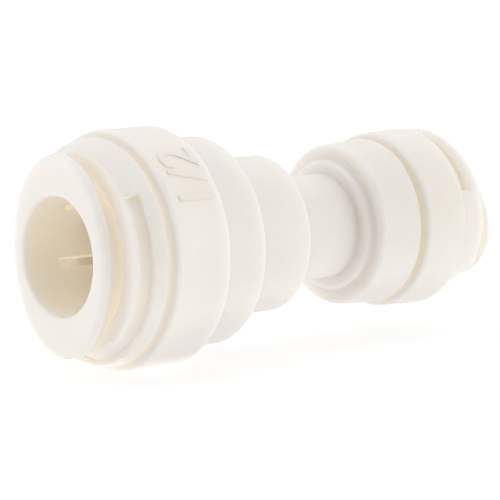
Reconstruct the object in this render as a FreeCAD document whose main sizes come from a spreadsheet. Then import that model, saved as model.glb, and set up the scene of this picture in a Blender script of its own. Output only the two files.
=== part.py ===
"""Reducing push to connect fitting, 1/2 in to 3/8 in tube, with a release collet at each end.

Units are millimetres. X runs along the fitting from the large port to the small port, Z is up and the
origin is on the axis, half way between the two collet faces.

The fitting body is drawn straight into the fitting's frame. The pieces of each port are drawn once, in a
port frame whose origin is the centre of the collet's outer face and whose +X points into the fitting,
from cells that start with large_ or small_. A Placement then takes them to their end.
"""
import FreeCAD, Part
import math
import os
import Sketcher

Vector = FreeCAD.Vector
Rotation = FreeCAD.Rotation

DOC = FreeCAD.newDocument("PushFitting")
SHEET = DOC.addObject("Spreadsheet::Sheet", "Dimensions")

PORTS = ("large", "small")
FINGERS = 6
X_AXIS = Vector(1, 0, 0)
Z_AXIS = Vector(0, 0, 1)

# A depth is measured along the axis, inwards from the outer face of the nearer collet.
BODY_SIZES = {
    "overall_length": 55.5,
    "waterway_radius": 3.6,
    "large_band_front_depth": 6.3,
    "large_band_radius": 13.0,
    "large_band_back_depth": 13.2,
    "seal_band_radius": 11.48,
    "seal_band_back_depth": 19.2,
    "socket_band_radius": 8.76,
    "socket_band_back_depth": 27.8,
    "neck_radius": 5.96,
    "small_band_front_depth": 5.8,
    "small_band_front_radius": 10.3,
    "small_band_back_depth": 11.3,
    "small_band_back_radius": 10.1,
    "small_groove_radius": 8.7,
    "small_seal_front_depth": 11.85,
    "small_seal_front_radius": 9.55,
    "small_seal_back_depth": 17.45,
    "small_seal_back_radius": 9.2,
    "small_ring_radius": 7.5,
    "small_ring_back_depth": 18.45,
    "edge_round": 0.4,
    "joint_round": 0.15,
    "step_fillet": 0.5,
    "neck_fillet": 0.2,
    "ring_round": 0.6,
}

# Sizes that both ports have: (name, large port, small port).
PORT_SIZES = (
    # collet: oval flange, round shank and the spring fingers' cone, head and tail
    ("collet_bore", 6.45, 4.86),
    ("collet_shank", 7.90, 6.05),
    ("flange_half_width", 8.65, 7.0),
    ("flange_half_height", 10.9, 8.95),
    ("flange_thickness", 0.95, 0.95),
    ("flange_round", 0.8, 0.7),
    ("flange_turn", 176.0, 180.0),
    ("mouth_round", 0.25, 0.2),
    ("finger_cone_depth", 7.1, 6.7),
    ("finger_head_depth", 8.6, 8.0),
    ("finger_head_radius", 9.3, 7.3),
    ("finger_tail_depth", 10.9, 9.4),
    ("finger_end_depth", 11.7, 10.1),
    ("finger_end_radius", 8.4, 6.6),
    ("slit_depth", 4.3, 4.0),
    ("slit_width", 1.1, 0.9),
    ("slit_turn", 13.0, 13.0),
    # cap: tapered nose with two bayonet recesses, and a skirt that is pressed into the body
    ("cap_front_depth", 2.15, 2.0),
    ("cap_front_radius", 11.1, 9.25),
    ("cap_nose_depth", 3.2, 3.4),
    ("cap_nose_radius", 11.75, 10.1),
    ("cap_back_depth", 5.75, 5.7),
    ("cap_back_radius", 12.4, 10.15),
    ("cap_mouth_radius", 9.1, 7.1),
    ("cap_mouth_depth", 3.2, 2.9),
    ("cap_bore", 7.97, 6.12),
    ("cap_cone_depth", 6.6, 6.2),
    ("cap_skirt_depth", 9.2, 8.3),
    ("cap_skirt_radius", 11.2, 8.5),
    ("cap_skirt_bore", 10.2, 7.9),
    ("cap_round", 0.4, 0.5),
    ("cap_back_round", 0.4, 0.15),
    ("recess_front_depth", 2.5, 4.2),
    ("recess_back_depth", 4.0, 5.8),
    ("floor_front_radius", 10.55, 8.65),
    ("floor_back_radius", 11.4, 9.65),
    ("recess_angle", 121.0, 124.0),
    ("recess_turn", 21.5, 17.0),
    ("entry_angle", 31.0, 47.0),
    # hollow of the body
    ("skirt_seat_radius", 11.25, 8.55),
    ("skirt_seat_depth", 9.3, 8.4),
    ("chamber_radius", 10.3, 7.95),
    ("chamber_depth", 13.1, 11.2),
    ("spacer_seat_radius", 9.6, 7.45),
    ("spacer_seat_depth", 14.6, 12.5),
    ("gland_radius", 8.85, 6.7),
    ("gland_depth", 17.4, 14.9),
    ("socket_bore", 6.42, 4.83),
    ("socket_depth", 25.5, 20.6),
    # spacer washer and seal
    ("spacer_radius", 9.56, 7.41),
    ("spacer_bore", 6.5, 4.9),
    ("spacer_thickness", 1.4, 1.2),
    ("seal_bore", 6.43, 4.84),
    ("seal_section_radius", 1.2, 0.92),
    # grip tooth: a leaning blade, one in each finger
    ("tooth_tip", 6.43, 4.84),
    ("tooth_root", 8.5, 6.7),
    ("tooth_depth", 9.2, 8.05),
    ("tooth_thickness", 0.45, 0.4),
    ("tooth_lean", 0.9, 0.75),
    ("tooth_angle", 30.0, 30.0),
    ("tooth_gap", 0.05, 0.05),
    # turn of the whole port about the axis
    ("port_turn", 0.0, -68.0),
)


# ---------------------------------------------------------------- sheet


def fill_sheet():
    """Write each driving dimension as plain text and give its cell an alias."""
    rows = list(BODY_SIZES.items())
    for name, large, small in PORT_SIZES:
        rows.append(("large_" + name, large))
        rows.append(("small_" + name, small))
    for row, (alias, value) in enumerate(rows, start=1):
        SHEET.set("A%d" % row, alias)
        SHEET.set("B%d" % row, str(value))
        SHEET.setAlias("B%d" % row, alias)
    DOC.recompute()


def cell(alias):
    """Expression that names a cell of the sheet."""
    return "Dimensions." + alias


def value(expression):
    """What an expression is worth now."""
    return float(SHEET.evalExpression(expression))


def along(port, alias):
    """Expression for the fitting's X at a depth counted from one port."""
    if port == "large":
        return "%s - %s / 2" % (cell(alias), cell("overall_length"))
    return "%s / 2 - %s" % (cell("overall_length"), cell(alias))


# ---------------------------------------------------------------- sketches and features


def new_body(name):
    body = DOC.addObject("PartDesign::Body", name)
    body.Label = name
    return body


def new_sketch(body, name, role="XY_Plane"):
    """Sketch on one of the body's own origin planes."""
    sketch = body.newObject("Sketcher::SketchObject", name)
    plane = next(item for item in body.Origin.OriginFeatures if item.Role == role)
    sketch.AttachmentSupport = [(plane, "")]
    sketch.MapMode = "FlatFace"
    return sketch


def turn_sketch(sketch, expression):
    """Turn a sketch on the XY plane about the X axis."""
    sketch.AttachmentOffset = FreeCAD.Placement(Vector(), Rotation(X_AXIS, 1.0))
    sketch.setExpression("AttachmentOffset.Rotation.Angle", expression)


def drive(sketch, kind, references, name, expression):
    """Add one named distance or radius to a sketch and bind it to the sheet."""
    index = sketch.addConstraint(Sketcher.Constraint(kind, *references, value(expression)))
    sketch.renameConstraint(index, name)
    sketch.setExpression("Constraints." + name, expression)


def draw_outline(sketch, corners):
    """Closed outline of straight lines. Each corner is a pair of expressions, X and radius."""
    points = [Vector(value(x), value(y), 0) for x, y in corners]
    count = len(points)
    for index in range(count):
        sketch.addGeometry(Part.LineSegment(points[index], points[(index + 1) % count]), False)
    for index in range(count):
        sketch.addConstraint(Sketcher.Constraint("Coincident", index, 2, (index + 1) % count, 1))
    for index, (x, y) in enumerate(corners):
        drive(sketch, "DistanceX", (-1, 1, index, 1), "x%d" % index, x)
        drive(sketch, "DistanceY", (-1, 1, index, 1), "y%d" % index, y)


def turned(body, name, corners, cut=False, angle=None, turn=None):
    """Revolve an outline about the X axis, all the way round or over an angle either side of it."""
    sketch = new_sketch(body, name + "_outline")
    if turn:
        turn_sketch(sketch, turn)
    draw_outline(sketch, corners)
    feature = body.newObject("PartDesign::Groove" if cut else "PartDesign::Revolution", name)
    feature.Profile = sketch
    feature.ReferenceAxis = (sketch, ["H_Axis"])
    if angle:
        feature.Midplane = True
        feature.setExpression("Angle", angle)
    else:
        feature.Angle = 360.0
    body.Tip = feature
    DOC.recompute()
    return feature


def around(body, name, feature, count):
    """Repeat a feature evenly round the X axis."""
    pattern = body.newObject("PartDesign::PolarPattern", name)
    pattern.Originals = [feature]
    pattern.Axis = (next(item for item in body.Origin.OriginFeatures if item.Role == "X_Axis"), [""])
    pattern.Angle = 360.0
    pattern.Occurrences = count
    body.Tip = pattern
    DOC.recompute()
    return pattern


def circles_at(shape, places):
    """Names of the circular edges about the X axis that lie at the given (X, radius) places."""
    names = []
    for number, edge in enumerate(shape.Edges, start=1):
        if edge.Curve.TypeId != "Part::GeomCircle":
            continue
        centre = edge.Curve.Center
        for x, radius in places:
            near = abs(centre.x - value(x)) < 0.01 and abs(edge.Curve.Radius - value(radius)) < 0.01
            if near and math.hypot(centre.y, centre.z) < 0.01:
                names.append("Edge%d" % number)
    return names


def rounded(body, name, edges, radius):
    """Fillet the named edges of the body's tip."""
    base = body.Tip
    feature = body.newObject("PartDesign::Fillet", name)
    feature.Base = (base, edges)
    feature.setExpression("Radius", radius)
    body.Tip = feature
    DOC.recompute()
    return feature


def place_in_port(body, port, extra_turn=0.0):
    """Move a piece from the port frame to its end of the fitting."""
    turn = value(cell(port + "_port_turn")) + extra_turn
    rotation = Rotation(X_AXIS, turn)
    half = "%s / 2" % cell("overall_length")
    if port == "large":
        half = "-" + half
    else:
        rotation = rotation.multiply(Rotation(Z_AXIS, 180.0))
    body.Placement = FreeCAD.Placement(Vector(value(half), 0, 0), rotation)
    body.setExpression("Placement.Base.x", half)


# ---------------------------------------------------------------- fitting body


def make_fitting_body():
    """One moulding: a stepped socket at each end, joined by a plain neck."""
    body = new_body("fitting_body")
    large_front = along("large", "large_band_front_depth")
    large_back = along("large", "large_band_back_depth")
    seal_back = along("large", "seal_band_back_depth")
    socket_back = along("large", "socket_band_back_depth")
    ring_back = along("small", "small_ring_back_depth")
    small_seal_back = along("small", "small_seal_back_depth")
    small_seal_front = along("small", "small_seal_front_depth")
    small_back = along("small", "small_band_back_depth")
    small_front = along("small", "small_band_front_depth")
    turned(body, "outside", [
        (large_front, "0"),
        (large_front, cell("large_band_radius")),
        (large_back, cell("large_band_radius")),
        (large_back, cell("seal_band_radius")),
        (seal_back, cell("seal_band_radius")),
        (seal_back, cell("socket_band_radius")),
        (socket_back, cell("socket_band_radius")),
        (socket_back, cell("neck_radius")),
        (ring_back, cell("neck_radius")),
        (ring_back, cell("small_ring_radius")),
        (small_seal_back, cell("small_ring_radius")),
        (small_seal_back, cell("small_seal_back_radius")),
        (small_seal_front, cell("small_seal_front_radius")),
        (small_seal_front, cell("small_groove_radius")),
        (small_back, cell("small_groove_radius")),
        (small_back, cell("small_band_back_radius")),
        (small_front, cell("small_band_front_radius")),
        (small_front, "0"),
    ])
    for port in PORTS:
        cut_port(body, port)
    turned(body, "waterway", [
        (along("large", "large_socket_depth"), "0"),
        (along("large", "large_socket_depth"), cell("waterway_radius")),
        (along("small", "small_socket_depth"), cell("waterway_radius")),
        (along("small", "small_socket_depth"), "0"),
    ], cut=True)
    outer_edges = [
        (large_front, cell("large_band_radius")),
        (large_back, cell("large_band_radius")),
        (seal_back, cell("seal_band_radius")),
        (socket_back, cell("socket_band_radius")),
        (small_seal_back, cell("small_seal_back_radius")),
        (small_seal_front, cell("small_seal_front_radius")),
        (small_back, cell("small_band_back_radius")),
    ]
    rounded(body, "edge_rounds", circles_at(body.Tip.Shape, outer_edges), cell("edge_round"))
    joint_edge = [(small_front, cell("small_band_front_radius"))]
    rounded(body, "joint_edge_round", circles_at(body.Tip.Shape, joint_edge), cell("joint_round"))
    inner_corners = [
        (large_back, cell("seal_band_radius")),
        (seal_back, cell("socket_band_radius")),
        (socket_back, cell("neck_radius")),
        (small_seal_back, cell("small_ring_radius")),
    ]
    rounded(body, "step_fillets", circles_at(body.Tip.Shape, inner_corners), cell("step_fillet"))
    neck_end = [(ring_back, cell("neck_radius"))]
    rounded(body, "neck_end_fillet", circles_at(body.Tip.Shape, neck_end), cell("neck_fillet"))
    ring_edge = [(ring_back, cell("small_ring_radius"))]
    rounded(body, "ring_edge_round", circles_at(body.Tip.Shape, ring_edge), cell("ring_round"))
    return body


def cut_port(body, port):
    """Cut one port's stepped hollow: skirt seat, collet chamber, spacer seat, seal gland, tube socket."""
    mouth = along(port, port + "_band_front_depth")
    steps = ("skirt_seat", "chamber", "spacer_seat", "gland")
    corners = [(mouth, "0")]
    start = mouth
    for step in steps:
        end = along(port, "%s_%s_depth" % (port, step))
        radius = cell("%s_%s_radius" % (port, step))
        corners.extend([(start, radius), (end, radius)])
        start = end
    socket_end = along(port, port + "_socket_depth")
    bore = cell(port + "_socket_bore")
    corners.extend([(start, bore), (socket_end, bore), (socket_end, "0")])
    turned(body, port + "_hollow", corners, cut=True)


# ---------------------------------------------------------------- pieces of a port


def make_cap(port):
    """Tapered ring with a skirt inside the body, a cam cone for the fingers and two bayonet recesses."""
    def size(name):
        return cell("%s_%s" % (port, name))

    body = new_body(port + "_cap")
    turned(body, "ring", [
        (size("cap_front_depth"), size("cap_mouth_radius")),
        (size("cap_front_depth"), size("cap_front_radius")),
        (size("cap_nose_depth"), size("cap_nose_radius")),
        (size("cap_back_depth"), size("cap_back_radius")),
        (size("cap_back_depth"), size("cap_skirt_radius")),
        (size("cap_skirt_depth"), size("cap_skirt_radius")),
        (size("cap_skirt_depth"), size("cap_skirt_bore")),
        (size("cap_cone_depth"), size("cap_bore")),
        (size("cap_mouth_depth"), size("cap_bore")),
    ])
    nose = [
        (size("cap_front_depth"), size("cap_front_radius")),
        (size("cap_nose_depth"), size("cap_nose_radius")),
    ]
    rounded(body, "nose_rounds", circles_at(body.Tip.Shape, nose), size("cap_round"))
    back = [(size("cap_back_depth"), size("cap_back_radius"))]
    rounded(body, "back_round", circles_at(body.Tip.Shape, back), size("cap_back_round"))
    entry_front = size("cap_front_depth") + " - 1"
    entry_turn = "%s + (%s - %s) / 2" % (size("recess_turn"), size("recess_angle"), size("entry_angle"))
    cut_recess(body, "recess", size, size("recess_front_depth"), size("recess_angle"), size("recess_turn"))
    cut_recess(body, "entry", size, entry_front, size("entry_angle"), entry_turn)
    place_in_port(body, port)
    return body


def floor_at(size, depth):
    """Radius of the recesses' cone-shaped floor, which follows the cap's taper, at a depth."""
    rise = "(%s - %s)" % (size("floor_back_radius"), size("floor_front_radius"))
    length = "(%s - %s)" % (size("recess_back_depth"), size("cap_front_depth"))
    return "%s + %s * (%s - %s) / %s" % (
        size("floor_front_radius"), rise, depth, size("cap_front_depth"), length)


def cut_recess(body, name, size, front, angle, turn):
    """Pair of arc-shaped cuts in the cap's nose, from a front depth to the recess's back wall."""
    beyond = "%s + 1" % size("cap_back_radius")
    cut = turned(body, name, [
        (front, floor_at(size, front)),
        (front, beyond),
        (size("recess_back_depth"), beyond),
        (size("recess_back_depth"), size("floor_back_radius")),
    ], cut=True, angle=angle, turn=turn)
    around(body, name + "_pair", cut, 2)


def make_collet(port):
    """Release collet: oval flange, round shank, and spring fingers that end in thick cam heads."""
    def size(name):
        return cell("%s_%s" % (port, name))

    body = new_body(port + "_collet")
    turned(body, "shank_and_fingers", [
        ("0", size("collet_bore")),
        ("0", size("collet_shank")),
        (size("finger_cone_depth"), size("collet_shank")),
        (size("finger_head_depth"), size("finger_head_radius")),
        (size("finger_tail_depth"), size("finger_head_radius")),
        (size("finger_end_depth"), size("finger_end_radius")),
        (size("finger_end_depth"), size("collet_bore")),
    ])
    add_flange(body, size)
    cut_slits(body, size)
    cut_tooth_slots(body, port, size)
    place_in_port(body, port)
    return body


def add_flange(body, size):
    """Oval flange round the mouth, with its front edge and the mouth rounded over."""
    sketch = new_sketch(body, "flange_outline", "YZ_Plane")
    sketch.AttachmentOffset = FreeCAD.Placement(Vector(), Rotation(Z_AXIS, 1.0))
    sketch.setExpression("AttachmentOffset.Rotation.Angle", size("flange_turn"))
    half_width = value(size("flange_half_width"))
    half_height = value(size("flange_half_height"))
    oval = Part.Ellipse(Vector(0, half_height, 0), Vector(half_width, 0, 0), Vector())
    oval_index = sketch.addGeometry(oval, False)
    sketch.exposeInternalGeometry(oval_index)
    sketch.addConstraint(Sketcher.Constraint("Coincident", oval_index, 3, -1, 1))
    long_axis, short_axis = oval_index + 1, oval_index + 2
    sketch.addConstraint(Sketcher.Constraint("Vertical", long_axis))
    drive(sketch, "Distance", (long_axis,), "long_axis", "2 * " + size("flange_half_height"))
    drive(sketch, "Distance", (short_axis,), "short_axis", "2 * " + size("flange_half_width"))
    bore = Part.Circle(Vector(), Vector(0, 0, 1), value(size("collet_bore")))
    bore_index = sketch.addGeometry(bore, False)
    sketch.addConstraint(Sketcher.Constraint("Coincident", bore_index, 3, -1, 1))
    drive(sketch, "Radius", (bore_index,), "bore", size("collet_bore"))
    flange = body.newObject("PartDesign::Pad", "flange")
    flange.Profile = sketch
    flange.setExpression("Length", size("flange_thickness"))
    body.Tip = flange
    DOC.recompute()
    rounded(body, "flange_front_round", oval_edges_at(flange.Shape, 0.0), size("flange_round"))
    mouth = [("0", size("collet_bore"))]
    rounded(body, "mouth_edge_round", circles_at(body.Tip.Shape, mouth), size("mouth_round"))


def oval_edges_at(shape, x):
    """Names of the edges in the plane at X that aren't circles."""
    names = []
    for number, edge in enumerate(shape.Edges, start=1):
        box = edge.BoundBox
        flat = abs(box.XMin - x) < 0.01 and abs(box.XMax - x) < 0.01
        if flat and edge.Curve.TypeId != "Part::GeomCircle":
            names.append("Edge%d" % number)
    return names


def cut_slits(body, size):
    """Slits between the fingers: round-ended slots from just behind the flange to the fingers' ends."""
    sketch = new_sketch(body, "slit_outline")
    turn_sketch(sketch, size("slit_turn"))
    half = value(size("slit_width")) / 2
    start = value(size("slit_depth")) + half
    end = value(size("finger_end_depth")) + 1
    low = sketch.addGeometry(Part.LineSegment(Vector(start, -half, 0), Vector(end, -half, 0)), False)
    far = sketch.addGeometry(Part.LineSegment(Vector(end, -half, 0), Vector(end, half, 0)), False)
    high = sketch.addGeometry(Part.LineSegment(Vector(end, half, 0), Vector(start, half, 0)), False)
    circle = Part.Circle(Vector(start, 0, 0), Vector(0, 0, 1), half)
    arc = sketch.addGeometry(Part.ArcOfCircle(circle, math.pi / 2, 3 * math.pi / 2), False)
    for first, last in ((low, far), (far, high)):
        sketch.addConstraint(Sketcher.Constraint("Coincident", first, 2, last, 1))
    sketch.addConstraint(Sketcher.Constraint("Tangent", high, 2, arc, 1))
    sketch.addConstraint(Sketcher.Constraint("Tangent", arc, 2, low, 1))
    sketch.addConstraint(Sketcher.Constraint("Vertical", far))
    sketch.addConstraint(Sketcher.Constraint("PointOnObject", arc, 3, -1))
    drive(sketch, "Radius", (arc,), "end_radius", size("slit_width") + " / 2")
    start_text = "%s + %s / 2" % (size("slit_depth"), size("slit_width"))
    drive(sketch, "DistanceX", (-1, 1, arc, 3), "arc_centre", start_text)
    drive(sketch, "DistanceX", (-1, 1, far, 1), "far_end", size("finger_end_depth") + " + 1")
    slit = body.newObject("PartDesign::Pocket", "slit")
    slit.Profile = sketch
    slit.Reversed = True
    slit.setExpression("Length", size("finger_head_radius") + " + 1")
    body.Tip = slit
    DOC.recompute()
    around(body, "slits", slit, FINGERS)


def tooth_corners(size, gap="0"):
    """Side view of a tooth, from root to tip. With a gap, the slot that holds it, open to the bore."""
    front = "%s - %s" % (size("tooth_depth"), gap)
    back = "%s + %s + %s" % (size("tooth_depth"), size("tooth_thickness"), gap)
    root = "%s + %s" % (size("tooth_root"), gap)
    tip = size("tooth_tip")
    return [
        (front, root),
        (back, root),
        ("%s + %s" % (back, size("tooth_lean")), tip),
        ("%s + %s" % (front, size("tooth_lean")), tip),
    ]


def cut_tooth_slots(body, port, size):
    """One leaning slot in the middle of each finger's head."""
    slot = turned(
        body,
        "tooth_slot",
        tooth_corners(size, size("tooth_gap")),
        cut=True,
        angle=size("tooth_angle") + " + 1",
        turn="%s + 90 + 180 / %d" % (size("slit_turn"), FINGERS),
    )
    around(body, "tooth_slots", slot, FINGERS)


def make_grip_tooth(port, number):
    """Stainless blade that leans inwards, so that a tube slides in past it but not out."""
    def size(name):
        return cell("%s_%s" % (port, name))

    body = new_body("%s_grip_tooth_%d" % (port, number))
    turned(body, "blade", tooth_corners(size), angle=size("tooth_angle"))
    step = 360.0 / FINGERS
    first = value(size("slit_turn")) + 90.0 + step / 2
    place_tooth(body, port, first + (number - 1) * step)
    return body


def place_tooth(body, port, angle):
    """Turn a tooth to its finger in the port frame, then take it to its end."""
    place_in_port(body, port)
    body.Placement = body.Placement.multiply(FreeCAD.Placement(Vector(), Rotation(X_AXIS, angle)))


def make_spacer(port):
    """Flat washer between the collet's chamber and the seal's gland."""
    def size(name):
        return cell("%s_%s" % (port, name))

    body = new_body(port + "_spacer")
    back = size("spacer_seat_depth") + " - 0.03"
    front = "%s - %s" % (back, size("spacer_thickness"))
    turned(body, "washer", [
        (front, size("spacer_bore")),
        (front, size("spacer_radius")),
        (back, size("spacer_radius")),
        (back, size("spacer_bore")),
    ])
    place_in_port(body, port)
    return body


def make_o_ring(port):
    """Rubber ring in the gland, at the size that the tube stretches it to."""
    def size(name):
        return cell("%s_%s" % (port, name))

    body = new_body(port + "_o_ring")
    sketch = new_sketch(body, "section")
    middle = "(%s + %s) / 2" % (size("spacer_seat_depth"), size("gland_depth"))
    centre = "%s + %s" % (size("seal_bore"), size("seal_section_radius"))
    start = Vector(value(middle), value(centre), 0)
    circle = Part.Circle(start, Vector(0, 0, 1), value(size("seal_section_radius")))
    index = sketch.addGeometry(circle, False)
    drive(sketch, "Radius", (index,), "section_radius", size("seal_section_radius"))
    drive(sketch, "DistanceX", (-1, 1, index, 3), "middle", middle)
    drive(sketch, "DistanceY", (-1, 1, index, 3), "centre", centre)
    ring = body.newObject("PartDesign::Revolution", "ring")
    ring.Profile = sketch
    ring.ReferenceAxis = (sketch, ["H_Axis"])
    ring.Angle = 360.0
    body.Tip = ring
    DOC.recompute()
    place_in_port(body, port)
    return body


# ---------------------------------------------------------------- whole fitting


def make_all():
    fill_sheet()
    nodes = [make_fitting_body()]
    for port in PORTS:
        nodes.append(make_cap(port))
        nodes.append(make_collet(port))
        for number in range(1, FINGERS + 1):
            nodes.append(make_grip_tooth(port, number))
        nodes.append(make_spacer(port))
        nodes.append(make_o_ring(port))
    DOC.recompute()
    return nodes


def check_document(nodes):
    """Stop on any feature that failed and any shape that isn't one valid solid."""
    for item in DOC.Objects:
        if "Invalid" in item.State or "Error" in item.State:
            raise RuntimeError("feature failed: %s" % item.Label)
    for node in nodes:
        shape = node.Shape
        if shape.isNull() or not shape.isValid() or len(shape.Solids) != 1:
            raise RuntimeError("bad shape: %s" % node.Label)


def write_parts(nodes):
    os.makedirs("parts", exist_ok=True)
    for node in nodes:
        node.Shape.exportStep(os.path.join("parts", node.Label + ".step"))


NODES = make_all()
check_document(NODES)
write_parts(NODES)
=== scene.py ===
import math

import bmesh
import bpy
from mathutils import Matrix, Vector


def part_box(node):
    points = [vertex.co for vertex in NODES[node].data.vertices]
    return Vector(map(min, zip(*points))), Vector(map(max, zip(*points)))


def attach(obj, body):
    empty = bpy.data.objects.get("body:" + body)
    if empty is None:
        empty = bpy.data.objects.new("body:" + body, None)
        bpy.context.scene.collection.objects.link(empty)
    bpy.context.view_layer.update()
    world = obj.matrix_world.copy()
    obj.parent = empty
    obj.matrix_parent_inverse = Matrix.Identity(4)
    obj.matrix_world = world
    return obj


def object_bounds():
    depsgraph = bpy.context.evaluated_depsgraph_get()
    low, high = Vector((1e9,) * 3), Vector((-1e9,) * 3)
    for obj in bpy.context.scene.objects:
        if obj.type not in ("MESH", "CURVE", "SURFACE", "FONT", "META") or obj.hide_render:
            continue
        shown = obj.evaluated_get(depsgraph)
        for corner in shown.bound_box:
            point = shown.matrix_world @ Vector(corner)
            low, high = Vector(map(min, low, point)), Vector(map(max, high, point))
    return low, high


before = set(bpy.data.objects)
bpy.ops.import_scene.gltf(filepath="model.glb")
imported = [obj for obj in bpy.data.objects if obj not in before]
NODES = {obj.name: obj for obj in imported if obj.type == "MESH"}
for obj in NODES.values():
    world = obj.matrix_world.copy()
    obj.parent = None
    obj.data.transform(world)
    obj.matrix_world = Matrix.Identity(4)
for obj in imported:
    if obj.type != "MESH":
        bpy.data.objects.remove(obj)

# Reducing push to connect fitting in white moulded plastic. Metres, X along the fitting from the large
# port to the small port, Z up. Every moulded part keeps its CAD shape and gets its surface here.

SCENE = bpy.context.scene
CAD_LOW, CAD_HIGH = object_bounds()
MM = 0.001
WHITE = (1.0, 1.0, 1.0, 1.0)


# ---------------------------------------------------------------- node helpers


class Tree:
    """Short way to build the nodes of a material or a world."""

    def __init__(self, owner, shader="Principled BSDF", place="Object"):
        owner.use_nodes = True
        self.tree = owner.node_tree
        self.shader = self.tree.nodes[shader]
        self.place = self.add("ShaderNodeTexCoord").outputs[place]

    def add(self, kind, **settings):
        node = self.tree.nodes.new(kind)
        for name, setting in settings.items():
            setattr(node, name, setting)
        return node

    def join(self, source, target):
        self.tree.links.new(source, target)

    def feed(self, socket, item):
        """Gives a socket another node's output, a number or a colour."""
        if isinstance(item, bpy.types.NodeSocket):
            self.join(item, socket)
        elif isinstance(item, (int, float)):
            socket.default_value = item
        else:
            socket.default_value = (*item, 1.0)

    def math(self, operation, *items):
        node = self.add("ShaderNodeMath", operation=operation)
        for socket, item in zip(node.inputs, items):
            self.feed(socket, item)
        return node.outputs[0]

    def axis(self, name):
        node = self.add("ShaderNodeSeparateXYZ")
        self.join(self.place, node.inputs["Vector"])
        return node.outputs[name]

    def stretched(self, scale):
        node = self.add("ShaderNodeMapping")
        node.inputs["Scale"].default_value = scale
        self.join(self.place, node.inputs["Vector"])
        return node.outputs["Vector"]

    def noise(self, scale, detail, roughness=0.5, stretch=None, distortion=0.0):
        node = self.add("ShaderNodeTexNoise")
        self.join(self.stretched(stretch) if stretch else self.place, node.inputs["Vector"])
        node.inputs["Scale"].default_value = scale
        node.inputs["Detail"].default_value = detail
        node.inputs["Roughness"].default_value = roughness
        node.inputs["Distortion"].default_value = distortion
        return node.outputs["Fac"]

    def remap(self, source, low, high, to_low, to_high, smooth=False):
        node = self.add("ShaderNodeMapRange")
        if smooth:
            node.interpolation_type = "SMOOTHSTEP"
        self.join(source, node.inputs["Value"])
        for name, number in (("From Min", low), ("From Max", high), ("To Min", to_low), ("To Max", to_high)):
            node.inputs[name].default_value = number
        return node.outputs["Result"]

    def mix(self, factor, first, second):
        node = self.add("ShaderNodeMix", data_type="RGBA")
        for socket, item in zip((node.inputs[0], node.inputs[6], node.inputs[7]), (factor, first, second)):
            self.feed(socket, item)
        return node.outputs[2]

    def openness(self, reach, own=False):
        """One where a surface is open for `reach` millimetres, zero deep in a hollow."""
        node = self.add("ShaderNodeAmbientOcclusion", samples=5, only_local=own)
        node.inputs["Distance"].default_value = reach * MM
        return node.outputs["AO"]

    def bump(self, height, distance, strength, normal=None):
        node = self.add("ShaderNodeBump")
        node.inputs["Strength"].default_value = strength
        node.inputs["Distance"].default_value = distance
        self.join(height, node.inputs["Height"])
        if normal is not None:
            self.join(normal, node.inputs["Normal"])
        return node.outputs["Normal"]


# ---------------------------------------------------------------- materials


# How far each kind of hollow is looked for, in millimetres, for the painted shade in creases and the painted
# light inside bores and in narrow gaps.
CREASE_SHADE_REACH = 8.0
INNER_REACH = 16.0
GAP_REACH = 3.0

# The openness at which an effect is at its full strength and the one at which it has gone.
CREASE_SHADE_SPAN = (0.5, 0.95)
INNER_SPAN = (0.05, 0.52)
GAP_FULL = 0.1

# The glow and the warm inner tone are painted light: they stand in for the light that comes through the
# walls of the real plastic.
INNER_PAINTED_LIGHT_TONE = (0.86, 0.80, 0.64)
INNER_GLOW = (1.0, 0.93, 0.66)
GAP_GLOW = (1.0, 0.97, 0.88)
GAP_STRENGTH = 0.17
CREASE_SHADE_WEIGHT = 0.75
INNER_PAINTED_LIGHT_WEIGHT = 0.5

PALER = 1.02
DEEPER = (0.975, 0.965, 0.945)
FLOW_STRETCH = (0.35, 1.6, 1.6)
FLOW_HEIGHT = 0.03 * MM
GRAIN_HEIGHT = 0.006 * MM
SEAM_HALF_WIDTH = 0.07 * MM
SEAM_HEIGHT = 0.04 * MM
SCATTER_RADIUS = (1.0, 0.86, 0.68)
SCATTER_SCALE = 2.5 * MM
PLASTIC_IOR = 1.48


def plastic_tone(t, colour, shade, cloud, mottle, inside):
    """Base colour: cloudy and mottled, with painted shade in creases and a painted warm glow inside the
    bores.
    """
    crease_shade = t.remap(t.openness(CREASE_SHADE_REACH), *CREASE_SHADE_SPAN, 1.0, 0.0)
    pale = tuple(min(1.0, channel * PALER) for channel in colour)
    deep = tuple(channel * factor for channel, factor in zip(colour, DEEPER))
    tone = t.mix(t.remap(cloud, 0.3, 0.7, 0.0, 1.0), pale, deep)
    tone = t.mix(t.remap(mottle, 0.35, 0.75, 0.0, 0.35), tone, deep)
    # Painted shade: in creases and hollows the colour is mixed towards the shade colour.
    tone = t.mix(t.math("MULTIPLY", crease_shade, CREASE_SHADE_WEIGHT), tone, shade)
    # Painted light: deep inside the bores the colour is mixed towards a warm tone, for light that comes
    # through the walls.
    return t.mix(t.math("MULTIPLY", inside, INNER_PAINTED_LIGHT_WEIGHT), tone, INNER_PAINTED_LIGHT_TONE)


def plastic_normal(t, flow, edge, seam):
    """Rounded edges, flow marks, mould grain and, on parts moulded in two halves, a parting line."""
    soft = t.add("ShaderNodeBevel", samples=6)
    soft.inputs["Radius"].default_value = edge * MM
    normal = t.bump(t.remap(flow, 0.2, 0.8, 0.0, 1.0), FLOW_HEIGHT, 0.5, soft.outputs["Normal"])
    normal = t.bump(t.noise(5200.0, detail=2.0, roughness=0.6), GRAIN_HEIGHT, 0.6, normal)
    if seam:
        line = t.remap(t.math("ABSOLUTE", t.axis("Y")), 0.0, SEAM_HALF_WIDTH, 1.0, 0.0, smooth=True)
        normal = t.bump(line, SEAM_HEIGHT, 0.6, normal)
    return normal


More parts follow.
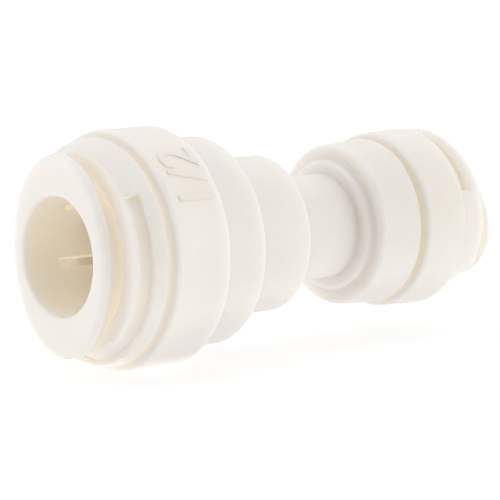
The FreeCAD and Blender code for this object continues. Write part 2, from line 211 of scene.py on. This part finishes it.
def moulded_plastic(name, colour, shade, roughness, edge=0.3, seam=True, seed=0.0, scatter=0.9,
                    glow=0.29, gap_limit=0.6):
    """White acetal: soft sheen, slightly see-through, faint flow marks, fine mould texture, painted shade in
    creases and a painted glow in bores and narrow gaps.
    """
    material = bpy.data.materials.new(name)
    t = Tree(material)
    shader = t.shader
    cloud = t.noise(70.0 + seed, detail=2.0)
    mottle = t.noise(520.0 + seed, detail=4.0, roughness=0.6)
    flow = t.noise(160.0, detail=3.0, stretch=FLOW_STRETCH, distortion=0.6)
    # Painted light: the surface glows deep inside the bores and in narrow gaps between parts, lifting what
    # would be shade.
    inside = t.remap(t.openness(INNER_REACH, own=True), *INNER_SPAN, 1.0, 0.0, smooth=True)
    t.join(plastic_tone(t, colour, shade, cloud, mottle, inside), shader.inputs["Base Color"])
    narrow_gap_glow = t.math("MULTIPLY", t.remap(t.openness(GAP_REACH), GAP_FULL, gap_limit, 1.0, 0.0), GAP_STRENGTH)
    strength = t.math("MAXIMUM", t.math("MULTIPLY", inside, glow), narrow_gap_glow)
    t.join(strength, shader.inputs["Emission Strength"])
    t.join(t.mix(inside, GAP_GLOW, INNER_GLOW), shader.inputs["Emission Color"])
    patchy = t.remap(mottle, 0.2, 0.8, roughness - 0.04, roughness + 0.05)
    rough = t.math("ADD", patchy, t.remap(flow, 0.3, 0.7, -0.02, 0.03))
    t.join(rough, shader.inputs["Roughness"])
    t.join(plastic_normal(t, flow, edge, seam), shader.inputs["Normal"])
    shader.inputs["Subsurface Weight"].default_value = scatter
    shader.inputs["Subsurface Radius"].default_value = SCATTER_RADIUS
    shader.inputs["Subsurface Scale"].default_value = SCATTER_SCALE
    shader.inputs["IOR"].default_value = PLASTIC_IOR
    return material


def seal_rubber(name):
    """Black nitrile: matt, with a dusty bloom and a fine surface."""
    material = bpy.data.materials.new(name)
    t = Tree(material)
    bloom = t.noise(300.0, detail=4.0, roughness=0.65)
    grain = t.noise(7000.0, detail=2.0)
    t.join(t.mix(t.remap(bloom, 0.35, 0.75, 0.0, 0.6), (0.016, 0.016, 0.017), (0.045, 0.044, 0.042)),
           t.shader.inputs["Base Color"])
    t.join(t.remap(bloom, 0.3, 0.7, 0.5, 0.68), t.shader.inputs["Roughness"])
    t.join(t.bump(grain, 0.008 * MM, 0.7), t.shader.inputs["Normal"])
    return material


def tooth_steel(name):
    """Stamped stainless: rolled grain, small scratches, a little heat tint."""
    material = bpy.data.materials.new(name)
    t = Tree(material)
    grain = t.noise(900.0, detail=4.0, roughness=0.7, stretch=(12.0, 1.0, 1.0))
    cloud = t.noise(400.0, detail=3.0)
    t.join(t.mix(t.remap(cloud, 0.3, 0.7, 0.0, 1.0), (0.60, 0.60, 0.61), (0.52, 0.51, 0.50)),
           t.shader.inputs["Base Color"])
    t.join(t.remap(grain, 0.25, 0.75, 0.22, 0.42), t.shader.inputs["Roughness"])
    t.join(t.bump(grain, 0.006 * MM, 0.6), t.shader.inputs["Normal"])
    t.shader.inputs["Metallic"].default_value = 1.0
    t.shader.inputs["Anisotropic"].default_value = 0.4
    return material


BODY = moulded_plastic("body_plastic", (0.885, 0.850, 0.815), (0.75, 0.72, 0.70), 0.40, glow=0.16)
CAP = moulded_plastic("cap_plastic", (0.885, 0.850, 0.817), (0.80, 0.76, 0.71), 0.38, seed=9.0,
                      gap_limit=0.9)
COLLET = moulded_plastic("collet_plastic", (0.885, 0.850, 0.82), (0.82, 0.77, 0.70), 0.36, seam=False,
                         seed=17.0)
WASHER = moulded_plastic("washer_plastic", (0.80, 0.77, 0.70), (0.72, 0.64, 0.48), 0.46, seam=False,
                         seed=29.0)
MARK = moulded_plastic("mark_plastic", (0.89, 0.85, 0.81), (0.87, 0.82, 0.76), 0.42, edge=0.05,
                       seam=False, scatter=0.0)
RUBBER = seal_rubber("seal_rubber")
STEEL = tooth_steel("tooth_steel")


def finish_for(name):
    if "tooth" in name:
        return STEEL
    if "o_ring" in name:
        return RUBBER
    if "spacer" in name:
        return WASHER
    if "collet" in name:
        return COLLET
    if "cap" in name:
        return CAP
    return BODY


for node_name, node in NODES.items():
    node.data.materials.clear()
    node.data.materials.append(finish_for(node_name))
    for polygon in node.data.polygons:
        polygon.material_index = 0


# ---------------------------------------------------------------- raised size mark


FIGURE_HEIGHT = 4.6 * MM
FIGURE_RELIEF = 0.13 * MM
FIGURE_ROOT = 0.3 * MM      # how far the figures reach into the band
FIGURE_STEP = 0.4 * MM      # the longest straight piece round the band
FIGURE_FROM_FACE = 9.9 * MM
FIGURE_START = math.radians(150.0)
HEIGHT_PER_SIZE = 0.7       # how tall a figure of the built-in typeface is at size 1
MERGE_DISTANCE = 0.002 * MM


def text_mesh(name, text, height):
    """Flat figures of the given height, one unit thick about Z = 0."""
    curve = bpy.data.curves.new(name + "_curve", "FONT")
    curve.body = text
    curve.size = height / HEIGHT_PER_SIZE
    curve.extrude = 0.5
    curve.resolution_u = 6
    holder = bpy.data.objects.new(name + "_holder", curve)
    SCENE.collection.objects.link(holder)
    bpy.context.view_layer.update()
    flat = bpy.data.meshes.new_from_object(holder.evaluated_get(bpy.context.evaluated_depsgraph_get()))
    bpy.data.objects.remove(holder)
    return flat


def wrapped_text(name, text, height, relief, radius, start, middle_x, body):
    """Raised figures that run round the X axis on a cylinder, with their tops towards the large port."""
    shape = bmesh.new()
    shape.from_mesh(text_mesh(name, text, height))
    low = min(vertex.co.x for vertex in shape.verts)
    high = max(vertex.co.x for vertex in shape.verts)
    cut = low + FIGURE_STEP
    while cut < high:
        geometry = shape.verts[:] + shape.edges[:] + shape.faces[:]
        bmesh.ops.bisect_plane(shape, geom=geometry, plane_co=(cut, 0, 0), plane_no=(1, 0, 0))
        cut += FIGURE_STEP
    for vertex in shape.verts:
        angle = start - (vertex.co.x - low) / radius
        out = radius + (relief if vertex.co.z > 0 else -FIGURE_ROOT)
        x = middle_x + height / 2 - vertex.co.y
        vertex.co = Vector((x, out * math.cos(angle), out * math.sin(angle)))
    bmesh.ops.remove_doubles(shape, verts=shape.verts, dist=MERGE_DISTANCE)
    bmesh.ops.recalc_face_normals(shape, faces=shape.faces)
    mesh = bpy.data.meshes.new(name)
    shape.to_mesh(mesh)
    shape.free()
    piece = bpy.data.objects.new(name, mesh)
    SCENE.collection.objects.link(piece)
    mesh.materials.append(MARK)
    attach(piece, body)


LARGE_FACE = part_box("large_collet")[0].x
BAND_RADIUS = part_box("fitting_body")[1].z
wrapped_text("size_mark", "1/2", FIGURE_HEIGHT, FIGURE_RELIEF, BAND_RADIUS, FIGURE_START,
             LARGE_FACE + FIGURE_FROM_FACE, "housing")


# ---------------------------------------------------------------- stage, light and camera


FLOOR_SIZE = 8.0
FLOOR_TONES = ((0.50, 0.50, 0.50), (0.53, 0.53, 0.53))
FLOOR_GLOW = 0.57

# Strength of the tent at the horizon, what is added straight up and what is added straight behind.
TENT_LEVEL = 0.85
TENT_RISE = 0.34
TENT_BACK = -0.20

# The dim opening: a fixed direction, how much it takes away, and where its soft edge starts and ends.
OPENING_SIDE = (-0.62, -0.77, 0.16)
OPENING_DEPTH = 0.86
OPENING_EDGE = (0.25, 0.95)

SOFTBOX_SIZE = 0.30
SOFTBOXES = (
    # name, place, watts
    ("key", (-0.34, 0.24, 0.22), 0.37),
    ("fill", (0.22, -0.42, 0.14), 0.19),
)

# Azimuth, elevation and roll in degrees, then millimetres.
CAMERA_ANGLES = (-39.05, 9.11, 0.15)
CAMERA_TARGET = (-1.6, 0.0, -1.8)
CAMERA_DISTANCE = 263.56
CAMERA_SENSOR = 36.0
CAMERA_LENS = 169.29

DIFFUSE_BOUNCES = 12
MOST_BOUNCES = 16


def add_floor(height):
    mesh = bpy.data.meshes.new("floor")
    shape = bmesh.new()
    bmesh.ops.create_grid(shape, x_segments=1, y_segments=1, size=FLOOR_SIZE)
    shape.to_mesh(mesh)
    shape.free()
    floor = bpy.data.objects.new("floor", mesh)
    floor.location.z = height
    SCENE.collection.objects.link(floor)
    material = bpy.data.materials.new("floor_white")
    t = Tree(material)
    t.join(t.mix(t.noise(6.0, detail=2.0), *FLOOR_TONES), t.shader.inputs["Base Color"])
    t.shader.inputs["Roughness"].default_value = 0.9
    t.shader.inputs["Specular IOR Level"].default_value = 0.1
    t.shader.inputs["Emission Color"].default_value = WHITE
    t.shader.inputs["Emission Strength"].default_value = FLOOR_GLOW
    mesh.materials.append(material)


def add_softbox(name, place, power):
    """Square softbox that faces the fitting."""
    light = bpy.data.lights.new(name, "AREA")
    light.shape = "SQUARE"
    light.size = SOFTBOX_SIZE
    light.energy = power
    lamp = bpy.data.objects.new(name, light)
    lamp.location = place
    lamp.rotation_euler = (-Vector(place)).to_track_quat("-Z", "Y").to_euler()
    SCENE.collection.objects.link(lamp)


def add_tent():
    """Light tent: white all round, brighter above, dimmer behind, with a dim opening on one side."""
    world = bpy.data.worlds.new("tent")
    SCENE.world = world
    t = Tree(world, "Background", "Generated")
    above = t.math("MULTIPLY_ADD", t.axis("Z"), TENT_RISE, TENT_LEVEL)
    behind = t.math("MULTIPLY_ADD", t.axis("Y"), TENT_BACK, above)
    facing = t.add("ShaderNodeVectorMath", operation="DOT_PRODUCT")
    facing.inputs[1].default_value = OPENING_SIDE
    t.join(t.place, facing.inputs[0])
    opening = t.remap(facing.outputs["Value"], *OPENING_EDGE, 0.0, OPENING_DEPTH, smooth=True)
    t.shader.inputs["Color"].default_value = WHITE
    t.join(t.math("SUBTRACT", behind, opening), t.shader.inputs["Strength"])


def add_camera():
    azimuth, elevation, roll = (math.radians(angle) for angle in CAMERA_ANGLES)
    back = Vector((
        math.sin(azimuth) * math.cos(elevation),
        -math.cos(azimuth) * math.cos(elevation),
        math.sin(elevation),
    ))
    data = bpy.data.cameras.new("camera")
    data.sensor_width = CAMERA_SENSOR
    data.lens = CAMERA_LENS
    data.clip_start = 0.01
    data.clip_end = 50.0
    camera = bpy.data.objects.new("camera", data)
    SCENE.collection.objects.link(camera)
    target = Vector(CAMERA_TARGET) * MM
    turn = back.to_track_quat("Z", "Y").to_matrix().to_4x4() @ Matrix.Rotation(roll, 4, "Z")
    camera.matrix_world = Matrix.Translation(target + back * CAMERA_DISTANCE * MM) @ turn
    SCENE.camera = camera


add_floor(CAD_LOW.z)
add_tent()
for softbox in SOFTBOXES:
    add_softbox(*softbox)
add_camera()
SCENE.view_settings.view_transform = "Standard"
SCENE.cycles.diffuse_bounces = DIFFUSE_BOUNCES
SCENE.cycles.max_bounces = MOST_BOUNCES
